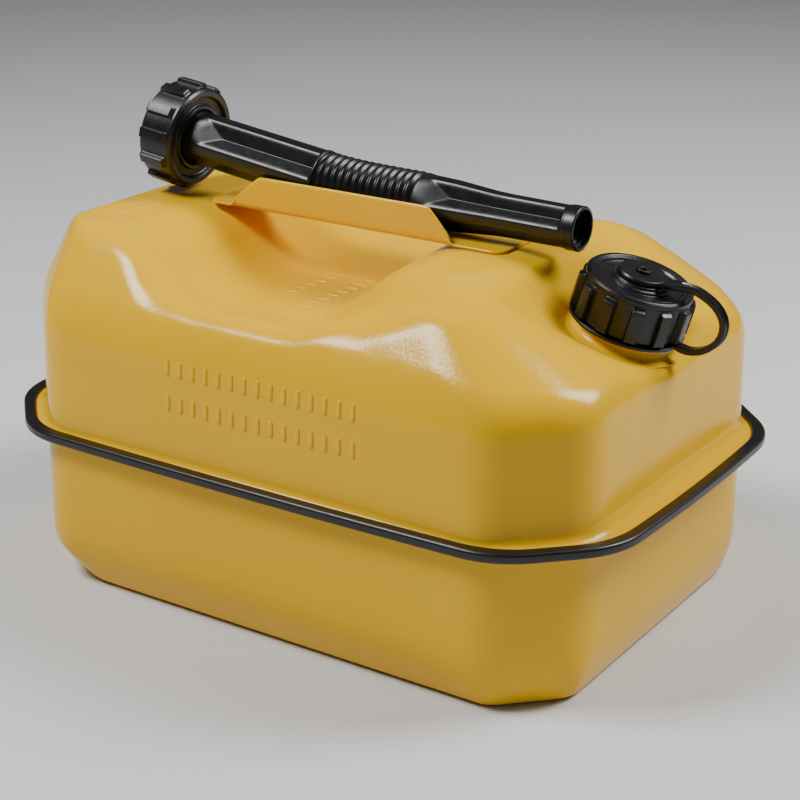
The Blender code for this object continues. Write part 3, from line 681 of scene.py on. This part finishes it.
def make_lower_shell(finish):
    shell = Shell(lower_form, 90, 90, 90)
    z = SEAM_Z - GAP / 2 - SHEET
    bottom = shell.flange(TRIM_WALL + GAP, z, -1, 0.0060)
    heart = 0.045
    for share in np.linspace(0, 1, 10)[1:-1]:
        level = bottom + (heart - bottom) * share
        shell.rows.append(shell.points(shell.level(level), level))
    steps = np.concatenate([np.arange(0, 30, 0.8), np.arange(30, 90.1, 5)])
    for degrees in steps:
        shell.rows.append(shell.ray_row(heart, -math.radians(degrees)))
    mesh = grid_mesh("lower_skin", np.stack(shell.rows))
    outward(mesh)
    return add_piece("lower_skin", mesh, finish, "can", "lower_shell", thickness=SHEET)


def make_trim(finish):
    """U-section trim with a rounded back, swept once round the flange."""
    inner = SHEET + GAP / 2 + GAP
    section = rounded([
        (0.0, TRIM_HALF_HEIGHT, 0.0015),
        (TRIM_LIP, TRIM_HALF_HEIGHT, 0.0007),
        (TRIM_LIP, inner, 0.0003),
        (TRIM_WALL, inner, 0.0),
        (TRIM_WALL, -inner, 0.0),
        (TRIM_LIP_UNDER, -inner, 0.0003),
        (TRIM_LIP_UNDER, -TRIM_HALF_HEIGHT, 0.0007),
        (0.0, -TRIM_HALF_HEIGHT, 0.0015),
    ], 5)
    shell = Shell(None, 60, 60, 120)
    rows = [shell.points(shell.outline(flange_outline(inset)), SEAM_Z + z) for inset, z in section]
    mesh = grid_mesh("trim_band", np.stack(rows), loop_rows=True)
    return add_piece("trim_band", mesh, finish, "can", "edge_trim", even=True)


# ---------------- ribbed turned pieces
def rib_angles(count, width, radius, phase):
    """Angles dense at the edges of the ribs and thin between them."""
    pitch = math.tau / count
    half = width / 2 / radius
    soft = RIB_EDGE / radius
    offsets = [-half - 2 * soft, -half - soft, -half - 0.5 * soft, -half, -half + 0.5 * soft,
               -half + soft, -half + 2 * soft]
    offsets += [-half / 3, half / 3]
    offsets += [-value for value in offsets[:7]][::-1]
    gap = pitch - 2 * (half + 2 * soft)
    offsets += [half + 2 * soft + gap * share for share in (0.2, 0.4, 0.6, 0.8)]
    angles = [phase + rib * pitch + value for rib in range(count) for value in offsets]
    return np.array(angles)


def rib_height(angle, z, count, width, radius, rise, low, high, phase):
    """Height of straight-sided ribs at an angle and z, with eased edges."""
    pitch = math.tau / count
    off = np.abs((angle - phase + pitch / 2) % pitch - pitch / 2) * radius
    across = smooth_step((width / 2 + RIB_EDGE - off) / (2 * RIB_EDGE))
    along = smooth_step((z - low) / 0.0006) * smooth_step((high - z) / 0.0016)
    return rise * across * along


def make_cap(finish):
    """Ribbed cap; its top face is at z = 0 on the neck's axis."""
    low = -CAP_HEIGHT
    corners = [
        (0.0, 0.0008, 0.0),
        (0.0120, 0.0008, 0.0005),
        (0.0126, -0.0004, 0.0003),
        (0.0136, -0.0007, 0.0003),
        (0.0140, -0.0018, 0.0004),
        (0.0196, -0.0019, 0.0004),
        (0.0205, -0.0006, 0.0004),
        (0.0212, -0.0009, 0.0003),
        (0.0222, 0.0, 0.0008),
        (0.0240, -0.0001, 0.0012),
        (0.0253, -0.0012, 0.0008),
        (0.0253, -0.0026, 0.0004),
        (0.0249, -0.0032, 0.0003),
    ]
    top = rounded(corners, 4, closed=False)
    wall_z = -np.array([0.0036, 0.0040, 0.0044, 0.0048, 0.0052, 0.0056, 0.008, 0.012, 0.016,
                        0.0190, 0.0198, 0.0202, 0.0206, 0.0209])
    wall = np.stack([np.full(len(wall_z), CAP_RADIUS), wall_z], axis=1)
    under = np.array([(CAP_RADIUS - 0.0003, low), (CAP_BORE + 0.0003, low), (CAP_BORE, low + 0.0004),
                      (CAP_BORE, -0.0036), (0.0, -0.0036)])
    profile = np.concatenate([top, wall, under])
    angles = rib_angles(CAP_RIBS, CAP_RIB_WIDTH, CAP_RADIUS, CAP_RIB_PHASE)
    rise = CAP_RIB_RADIUS - CAP_RADIUS

    def ribs(angle, radius, z):
        on_wall = (radius > CAP_RADIUS - 0.0002) & (z < -0.0033) & (z > low + 0.0001)
        taper = 0.86 + 0.14 * smooth_step((-0.0036 - z) / 0.004)
        height = rib_height(angle, z, CAP_RIBS, CAP_RIB_WIDTH, CAP_RADIUS, rise, low + 0.0003, -0.0038,
                            CAP_RIB_PHASE)
        return np.where(on_wall, height * taper, 0.0)

    grid = place_all(spin(profile, angles, ribs), NECK_PLACE)
    mesh = grid_mesh("cap_moulding", grid)
    return add_piece("cap_moulding", mesh, finish, "cap", "cap", even=True)


def make_nut(finish):
    """Ribbed captive nut; z = 0 is its face, and the spout leaves towards +z."""
    face = rounded([
        (NUT_COLLAR, -0.0040, 0.0),
        (NUT_COLLAR, -0.0006, 0.0004),
        (0.0166, -0.0006, 0.0003),
        (0.0172, -0.0022, 0.0006),
        (0.0206, -0.0026, 0.0010),
        (0.0218, -0.0004, 0.0006),
        (0.0243, 0.0, 0.0005),
        (NUT_RADIUS, -0.0013, 0.0006),
        (NUT_RADIUS, -0.0024, 0.0),
    ], 4, closed=False)
    wall_z = -np.array([0.0026, 0.0030, 0.0034, 0.0038, 0.0042, 0.0046, 0.008, 0.012, 0.016,
                        0.0178, 0.0182, 0.0186, 0.0190])
    wall = np.stack([np.full(len(wall_z), NUT_RADIUS), wall_z], axis=1)
    low = -NUT_LENGTH
    back = np.array([(NUT_RADIUS - 0.0003, low), (NUT_BORE + 0.0004, low), (NUT_BORE, low + 0.0005)])
    thread = []
    for turn in range(4):
        z = low + 0.0018 + turn * 0.0032
        thread += [(NUT_BORE, z), (NUT_BORE - 0.0009, z + 0.0006), (NUT_BORE - 0.0009, z + 0.0010),
                   (NUT_BORE, z + 0.0016)]
    inside = np.array([(NUT_BORE, -0.0042), (NUT_COLLAR + 0.0004, -0.0042)])
    profile = np.concatenate([face, wall, back, np.array(thread), inside])
    angles = rib_angles(NUT_RIBS, NUT_RIB_WIDTH, NUT_RADIUS, NUT_RIB_PHASE)
    rise = NUT_RIB_RADIUS - NUT_RADIUS

    def ribs(angle, radius, z):
        on_wall = (radius > NUT_RADIUS - 0.0002) & (z < -0.0025) & (z > low + 0.0002)
        height = rib_height(angle, z, NUT_RIBS, NUT_RIB_WIDTH, NUT_RADIUS, rise, low + 0.0004, -0.0026,
                            NUT_RIB_PHASE)
        return np.where(on_wall, height, 0.0)

    grid = place_all(spin(profile, angles, ribs), NUT_PLACE)
    mesh = grid_mesh("nut_moulding", grid, loop_rows=True)
    return add_piece("nut_moulding", mesh, finish, "nut", "spout_nut", even=True)


# ---------------- neck and leash
def make_neck(finish):
    """Threaded neck with the bead at its root, hidden in part by the cap."""
    top = -0.0064
    floor = -NECK_FLOOR
    corners = [(NECK_RADIUS, top, 0.0004)]
    for turn in range(3):
        z = -0.0084 - turn * 0.0040
        corners += [(NECK_RADIUS, z, 0.0003), (NECK_THREAD, z - 0.0008, 0.0004),
                    (NECK_THREAD, z - 0.0018, 0.0004), (NECK_RADIUS, z - 0.0026, 0.0003)]
    corners += [
        (NECK_RADIUS, -0.0238, 0.0003),
        (0.0232, -0.0240, 0.0007),
        (0.0232, -0.0262, 0.0012),
        (0.0244, -0.0288, 0.0030),
        (0.0290, floor + 0.0002, 0.0020),
        (0.0290, floor - 0.0002, 0.0),
        (NECK_RADIUS, floor - 0.0002, 0.0),
        (NECK_RADIUS, floor - 0.0035, 0.0),
        (NECK_BORE, floor - 0.0035, 0.0003),
        (NECK_BORE, top, 0.0004),
    ]
    return turned("neck_tube", corners, NECK_PLACE, finish, "can", "filler_neck", steps=128, arc=5)


def make_leash(finish):
    """Ring under the cap, disc and rivet on it, and the strap between them."""
    ring_top = -CAP_HEIGHT - GAP
    ring_low = ring_top - LEASH_THICK
    turned("leash_loop", [
        (LEASH_RING_RADIUS, ring_top, 0.0005),
        (LEASH_RING_RADIUS, ring_low, 0.0005),
        (LEASH_RING_BORE, ring_low, 0.0003),
        (LEASH_RING_BORE, ring_top, 0.0003),
    ], NECK_PLACE, finish, "leash", "leash_ring", steps=128)
    eye_low = 0.0008 + GAP
    eye_top = eye_low + 0.0024
    turned("leash_disc", [
        (EYE_RADIUS - 0.0006, eye_top, 0.0006),
        (EYE_RADIUS, eye_top - 0.0010, 0.0004),
        (EYE_RADIUS, eye_low, 0.0004),
        (STUD_RADIUS + GAP, eye_low, 0.0),
        (STUD_RADIUS + GAP, eye_top, 0.0003),
    ], NECK_PLACE, finish, "strap_eye", "leash_eye", steps=96)
    turned("leash_rivet", [
        (0.0034, eye_top + 0.0014, 0.0004),
        (0.0036, eye_top + GAP, 0.0003),
        (STUD_RADIUS, eye_top + GAP, 0.0),
        (STUD_RADIUS, -0.0015, 0.0002),
        (0.0011, -0.0015, 0.0),
        (0.0013, eye_top + 0.0014, 0.0004),
    ], NECK_PLACE, finish, "cap", "leash_stud", steps=48)
    make_strap(finish, (eye_low + eye_top) / 2, ring_top - LEASH_THICK / 2)


def smooth_path(points, count):
    """Even points on a smooth curve through the given ones (Catmull-Rom)."""
    points = [np.array(point, float) for point in points]
    first = 2 * points[0] - points[1]
    last = 2 * points[-1] - points[-2]
    padded = [first, *points, last]
    dense = []
    for i in range(1, len(padded) - 2):
        a, b, c, d = padded[i - 1:i + 3]
        for step in range(24):
            t = step / 24
            dense.append(0.5 * (2 * b + (c - a) * t + (2 * a - 5 * b + 4 * c - d) * t ** 2
                                + (3 * b - 3 * c + d - a) * t ** 3))
    dense.append(points[-1])
    dense = np.array(dense)
    length = np.concatenate([[0], np.cumsum(np.linalg.norm(np.diff(dense, axis=0), axis=1))])
    even = np.linspace(0, length[-1], count)
    return np.stack([np.interp(even, length, dense[:, k]) for k in range(dense.shape[1])], axis=1), even


def make_strap(finish, eye_z, ring_z):
    """Flat strap with two ridges, widening where it meets the disc and thick at the ring."""
    route = [(EYE_RADIUS - 0.0012, eye_z), *STRAP_LOOP, (LEASH_RING_RADIUS - 0.0010, ring_z)]
    path, length = smooth_path(route, 90)
    tangent = np.gradient(path, axis=0)
    tangent /= np.linalg.norm(tangent, axis=1)[:, None]
    across = np.stack([-tangent[:, 1], tangent[:, 0]], axis=1)
    total = length[-1]
    width = STRAP_WIDTH * (1 + 1.05 * np.exp(-(length / 0.0085) ** 2)
                           + 0.25 * np.exp(-((total - length) / 0.004) ** 2))
    ends = np.minimum(smooth_step(length / 0.008), smooth_step((total - length) / 0.003))
    thick = STRAP_THIN + (STRAP_THICK - STRAP_THIN) * ends
    section = [(-0.5, -0.30), (-0.44, -0.5), (0.44, -0.5), (0.5, -0.30), (0.5, 0.34), (0.42, 0.5),
               (0.30, 0.5), (0.22, 0.30), (0.08, 0.30), (0.0, 0.46), (-0.08, 0.30), (-0.22, 0.30),
               (-0.30, 0.5), (-0.42, 0.5), (-0.5, 0.34)]
    grid = []
    for i in range(len(path)):
        row = []
        for side, up in section:
            spot = path[i] + across[i] * up * thick[i]
            row.append((spot[0], side * width[i], spot[1]))
        grid.append(row)
    grid = place_all(np.array(grid), NECK_PLACE)
    mesh = grid_mesh("leash_band", grid, fill_ends=True)
    made = add_piece("leash_band", mesh, finish, None, "leash_strap", even=True)
    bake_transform(made)


# ---------------- handle
def make_handle(finish):
    """Sheet strip whose sides fold up between its two flat feet."""
    low = PLATEAU_Z + GAP + HANDLE_SHEET
    flat = HANDLE_Y - HANDLE_SHEET - HANDLE_BEND
    full = HANDLE_TOP_Z - low - HANDLE_BEND
    corner_xs = HANDLE_CORNER * (1 - np.cos(np.linspace(0, math.pi / 2, 10)))
    xs = np.unique(np.concatenate([
        np.linspace(HANDLE_FEET[0], HANDLE_FEET[1], 60),
        np.linspace(HANDLE_FOLD[0] - 0.006, HANDLE_TOP[0] + 0.004, 40),
        np.linspace(HANDLE_TOP[1] - 0.004, HANDLE_FOLD[1] + 0.006, 40),
        HANDLE_FEET[0] + corner_xs, HANDLE_FEET[1] - corner_xs]))
    rows = []
    for x in xs:
        rise = min((x - HANDLE_FOLD[0]) / (HANDLE_TOP[0] - HANDLE_FOLD[0]),
                   (HANDLE_FOLD[1] - x) / (HANDLE_FOLD[1] - HANDLE_TOP[1]))
        edge = 0.05
        height = full * (0.5 * (rise + 1 - math.sqrt((rise - 1) ** 2 + edge ** 2)) if rise > 0 else 0.0)
        fold = float(smooth_step((rise + 0.10) / 0.30))
        height = max(height, 0.0) * fold
        angle = fold * math.pi / 2
        end = min(x - HANDLE_FEET[0], HANDLE_FEET[1] - x)
        short = HANDLE_CORNER - min(end, HANDLE_CORNER)
        cut = HANDLE_CORNER - math.sqrt(max(HANDLE_CORNER ** 2 - short ** 2, 0.0))
        half = flat + HANDLE_BEND * math.pi / 2 * (1 if fold > 0 else 0.9) - cut
        row = []
        for side in (-1, 1):
            part = []
            for share in np.linspace(0, 1, 8):
                part.append((side * min(half, flat) * share, 0.0))
            arc = half - flat
            if arc > 0:
                for share in np.linspace(0, 1, 7)[1:]:
                    run = arc * share
                    if angle > 0.001:
                        radius = HANDLE_BEND * math.pi / 2 / angle
                        turn = run / radius
                        part.append((side * (flat + radius * math.sin(turn)),
                                     radius * (1 - math.cos(turn))))
                    else:
                        part.append((side * (flat + run), 0.0))
            else:
                part += [part[-1]] * 6
            y, z = part[-1]
            for share in np.linspace(0, 1, 9)[1:]:
                climb = height * share
                part.append((y + side * math.cos(angle) * climb, z + math.sin(angle) * climb))
            row.append(part)
        line = row[0][::-1] + row[1][1:]
        rows.append([(x, y, low + z) for y, z in line])
    grid = np.array(rows)
    mesh = grid_mesh("handle_sheet", grid, loop_columns=False, weld=0.000001)
    up = sum(face.normal.z * face.area for face in mesh.polygons)
    if up < 0:
        mesh.flip_normals()
    return add_piece("handle_sheet", mesh, finish, "can", "handle_bracket", thickness=HANDLE_SHEET)


# ---------------- spout
def soft_min(a, b, blend):
    return -soft_max(-a, -b, blend)


def fluted(radius, angle, s, start, ramp_end, end):
    """Radius of a tube with four V-bottomed flutes, each entered by a flat ramp."""
    if s < start - 0.002 or s > end + 0.0010:
        return radius
    pitch = math.pi / 2
    off = (angle - FLUTE_PHASE + pitch / 2) % pitch - pitch / 2
    floor_centre = radius * FLUTE_DEPTH
    edge = FLUTE_HALF_CHORD * radius
    top = np.sqrt(radius ** 2 - edge ** 2)
    lean = (top - floor_centre) / edge
    flute = floor_centre / np.maximum(np.cos(off) - lean * np.abs(np.sin(off)), 0.25)
    entry = radius + (floor_centre - radius) * (s - start) / (ramp_end - start)
    leave = floor_centre + (s - end + 0.0018) * 2.0
    plane = np.maximum(entry, leave) / np.cos(off)
    return soft_min(radius, soft_max(flute, plane, 0.0005), 0.0018)


def make_tube(name, outer, stations, bore, flutes, matrix, finish, body, node):
    """Tube along local +Z from knots (s, radius) outside and (radius, s) inside, with flutes."""
    count = 264
    angles = np.arange(count) * math.tau / count
    rings = []
    for s in stations:
        radius = np.interp(s, [knot[0] for knot in outer], [knot[1] for knot in outer])
        rings.append((fluted(np.full(count, float(radius)), angles, s, *flutes), s))
    rows = [np.stack([radius * np.cos(angles), radius * np.sin(angles), np.full(count, s)], axis=1)
            for radius, s in rings + bore]
    grid = place_all(np.stack(rows), matrix)
    mesh = grid_mesh(name, grid, loop_rows=True)
    return add_piece(name, mesh, finish, body, node, even=True)


def make_base_tube(finish):
    """Rear tube, from the flange inside the nut to the spigot inside the bellows."""
    flange = -0.0043
    start, ramp_end, end = 0.0012, 0.0200, 0.0786
    outer = [(-0.0068, 0.0205), (-0.0066, 0.0205), (flange - 0.0002, 0.0205), (flange, 0.0202),
             (flange + 0.0001, 0.0150), (-0.0030, 0.0145), (0.0, BASE_RADIUS),
             (0.0790, BASE_RADIUS - 0.0001), (0.0798, BASE_RADIUS - 0.0005),
             (0.0802, BELLOWS_ROOT + 0.0006), (0.0808, BELLOWS_ROOT), (BASE_LENGTH, BELLOWS_ROOT)]
    stations = np.unique(np.concatenate([
        [-0.0068, -0.0066, -0.0045, flange, flange + 0.0001, -0.0036, -0.0030, -0.002, -0.001, 0.0],
        np.linspace(start - 0.001, ramp_end + 0.003, 60),
        np.linspace(ramp_end + 0.003, end - 0.002, 24),
        np.linspace(end - 0.002, end + 0.0010, 24),
        [0.0798, 0.0800, 0.0802, 0.0805, 0.0808, BASE_LENGTH]]))
    bore = [(BELLOWS_BORE + 0.0002, BASE_LENGTH), (BELLOWS_BORE, BASE_LENGTH - 0.0004),
            (BELLOWS_BORE, BASE_LENGTH - 0.0012), (0.0086, BASE_LENGTH - 0.0030), (0.0086, 0.0),
            (BELLOWS_BORE, -0.0030), (BELLOWS_BORE, -0.0064), (BELLOWS_BORE + 0.0003, -0.0068)]
    return make_tube("rear_tube", outer, stations, bore, (start, ramp_end, end), NUT_PLACE, finish,
                     "spout", "spout_base_tube")


def make_outlet_tube(finish):
    """Front tube, tapering from the bellows to its plain round tip."""
    length = OUTLET_LENGTH
    start, ramp_end, end = 0.0022, 0.0205, 0.0808
    outer = [(0.0, BELLOWS_ROOT), (0.0008, BELLOWS_ROOT), (0.0014, BELLOWS_ROOT + 0.0008),
             (0.0018, OUTLET_RADIUS - 0.0002), (0.0026, OUTLET_RADIUS), (0.022, 0.0127),
             (OUTLET_TAPER, 0.0110), (0.050, TIP_RADIUS + 0.0002), (0.0820, TIP_RADIUS),
             (0.0824, TIP_RADIUS + 0.00025), (length - 0.0006, TIP_RADIUS + 0.00025),
             (length - 0.0002, TIP_RADIUS), (length, TIP_RADIUS - 0.0004)]
    stations = np.unique(np.concatenate([
        [0.0, 0.0008, 0.0011, 0.0014, 0.0018, 0.0022, 0.0026],
        np.linspace(start - 0.001, ramp_end + 0.003, 60),
        np.linspace(ramp_end + 0.003, end - 0.002, 30),
        np.linspace(end - 0.002, end + 0.0010, 24),
        [0.0818, 0.0820, 0.0822, 0.0824, 0.0826, 0.085],
        [length - 0.0006, length - 0.0004, length - 0.0002, length]]))
    bore = [(0.0093, length), (0.0090, length - 0.0004), (0.0090, length - 0.0030),
            (SPOUT_BORE, length - 0.0032), (SPOUT_BORE, length - 0.0052), (0.0064, length - 0.0056),
            (0.0064, 0.0050), (SPOUT_BORE, 0.0)]
    return make_tube("front_tube", outer, stations, bore, (start, ramp_end, end), OUTLET_PLACE, finish,
                     "outlet", "spout_outlet_tube")


def make_bellows(finish):
    """Corrugated tube on a smooth curve from the rear tube to the front one."""
    along = Vector((math.cos(BASE_TILT), 0.0, -math.sin(BASE_TILT)))
    leaving = Vector((math.cos(OUTLET_TILT), 0.0, -math.sin(OUTLET_TILT)))
    start = NUT_FACE + along * (BASE_LENGTH - 0.0006)
    end = OUTLET_START + leaving * 0.0004
    pull = (end - start).length / 3
    a, b, c, d = start, start + along * pull, end - leaving * pull, end
    steps = 72
    angles = np.arange(steps) * math.tau / steps
    per_fold = 12
    count = BELLOWS_FOLDS * per_fold + 1
    rows = []
    bore = []
    for i in range(count):
        t = i / (count - 1)
        s = 1 - t
        centre = a * s ** 3 + b * 3 * s * s * t + c * 3 * s * t * t + d * t ** 3
        tangent = ((b - a) * s * s + (c - b) * 2 * s * t + (d - c) * t * t).normalized()
        up = Vector((-tangent.z, 0.0, tangent.x))
        wave = 0.5 - 0.5 * math.cos(math.tau * BELLOWS_FOLDS * t)
        radius = BELLOWS_ROOT + (BELLOWS_CREST - BELLOWS_ROOT) * wave ** 0.75
        ring = np.array([centre + Vector((0, math.cos(g), 0)) * radius + up * math.sin(g) * radius
                         for g in angles])
        rows.append(ring)
        if i % per_fold == 0:
            bore.append(np.array([centre + Vector((0, math.cos(g), 0)) * BELLOWS_BORE
                                  + up * math.sin(g) * BELLOWS_BORE for g in angles]))
    grid = np.stack(rows + bore[::-1])
    mesh = grid_mesh("bellows", grid, loop_rows=True)
    made = add_piece("bellows", mesh, finish, None, "spout_bellows")
    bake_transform(made)


# ---------------- pressed marks
def stamp(shape, outline, out, height):
    """A low raised mark: a closed outline of (a, b), eased at its edge, placed by out(a, b, h)."""
    outline = np.array(outline)
    middle = outline.mean(axis=0)
    rings = []
    for inset, rise in ((0.0, -MARK_SINK), (0.0, 0.0), (MARK_EASE * 0.6, height * 0.65),
                        (MARK_EASE * 1.3, height)):
        away = outline - middle
        reach = np.linalg.norm(away, axis=1)[:, None]
        line = middle + away * np.maximum(reach - inset, reach * 0.3) / reach
        rings.append([shape.verts.new(spot) for spot in out(line, rise)])
    count = len(outline)
    for lower, upper in zip(rings, rings[1:]):
        for i in range(count):
            j = (i + 1) % count
            shape.faces.new((lower[i], lower[j], upper[j], upper[i]))
    shape.faces.new(rings[-1])
    shape.faces.new(rings[0][::-1])


def pill(centre, length, width, angle):
    """Outline of a rounded bar."""
    steps = 6
    points = []
    half = (length - width) / 2
    for end in (1, -1):
        for step in range(steps + 1):
            turn = -math.pi / 2 + math.pi * step / steps + (0 if end > 0 else math.pi)
            points.append((end * half + width / 2 * math.cos(turn), width / 2 * math.sin(turn)))
    cos, sin = math.cos(angle), math.sin(angle)
    return [(centre[0] + x * cos - y * sin, centre[1] + x * sin + y * cos) for x, y in points]


def surface(points, heading, reach):
    """Distances at which rays from inside the upper shell first leave its form."""
    points = np.array(points, float)
    low = np.zeros(len(points))
    high = np.full(len(points), reach)
    for _ in range(26):
        middle = (low + high) / 2
        spot = points + np.array(heading) * middle[:, None]
        outside = upper_form(spot[:, 0], spot[:, 1], spot[:, 2]) > 0
        high = np.where(outside, middle, high)
        low = np.where(outside, low, middle)
    return high


def make_marks(finish):
    """Rows of plain, equal raised bars where the sheet is pressed with marks."""
    shape = bmesh.new()

    def on_front(line, height):
        depth = surface([(x, 0.0, z) for x, z in line], (0.0, -1.0, 0.0), 0.2)
        return [Vector((x, -reach - height, z)) for (x, z), reach in zip(line, depth)]

    def on_top(line, height):
        rise = surface([(x, y, 0.1) for x, y in line], (0.0, 0.0, 1.0), 0.12)
        return [Vector((x, y, 0.1 + reach + height)) for (x, y), reach in zip(line, rise)]

    for level in (0.1283, 0.1108):
        for i in range(15):
            stamp(shape, pill((-0.0470 + i * 0.0075, level), 0.0085, 0.0026, math.pi / 2), on_front,
                  0.00042)
    for x, y, count in ((-0.0300, -0.038, 7), (-0.0125, -0.068, 11)):
        for i in range(count):
            stamp(shape, pill((x + i * 0.0006, y + i * 0.0072), 0.0082, 0.0024, math.radians(4)),
                  on_top, 0.00040)
    for i in range(7):
        stamp(shape, pill((-0.1245 + i * 0.0011, -0.063 + i * 0.0050), 0.0042, 0.0018, math.radians(20)),
              on_top, 0.00028)
    mesh = bpy.data.meshes.new("press_marks")
    bmesh.ops.recalc_face_normals(shape, faces=shape.faces)
    shape.to_mesh(mesh)
    shape.free()
    return add_piece("press_marks", mesh, finish, "can")


# ---------------- build
make_studio()
paint = yellow_paint()
moulded = black_plastic("moulded_black")
extruded = black_plastic("extruded_black", grain=350.0, shine=0.33, depth=0.05)
rubber = black_rubber()
make_upper_shell(paint)
make_lower_shell(paint)
make_trim(extruded)
make_neck(paint)
make_cap(moulded)
make_leash(moulded)
make_handle(paint)
make_nut(moulded)
make_base_tube(moulded)
make_outlet_tube(moulded)
make_bellows(moulded)
make_marks(paint)
for sealed in ("cap_seal", "spout_gasket"):
    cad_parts[sealed].data.materials.clear()
    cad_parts[sealed].data.materials.append(rubber)
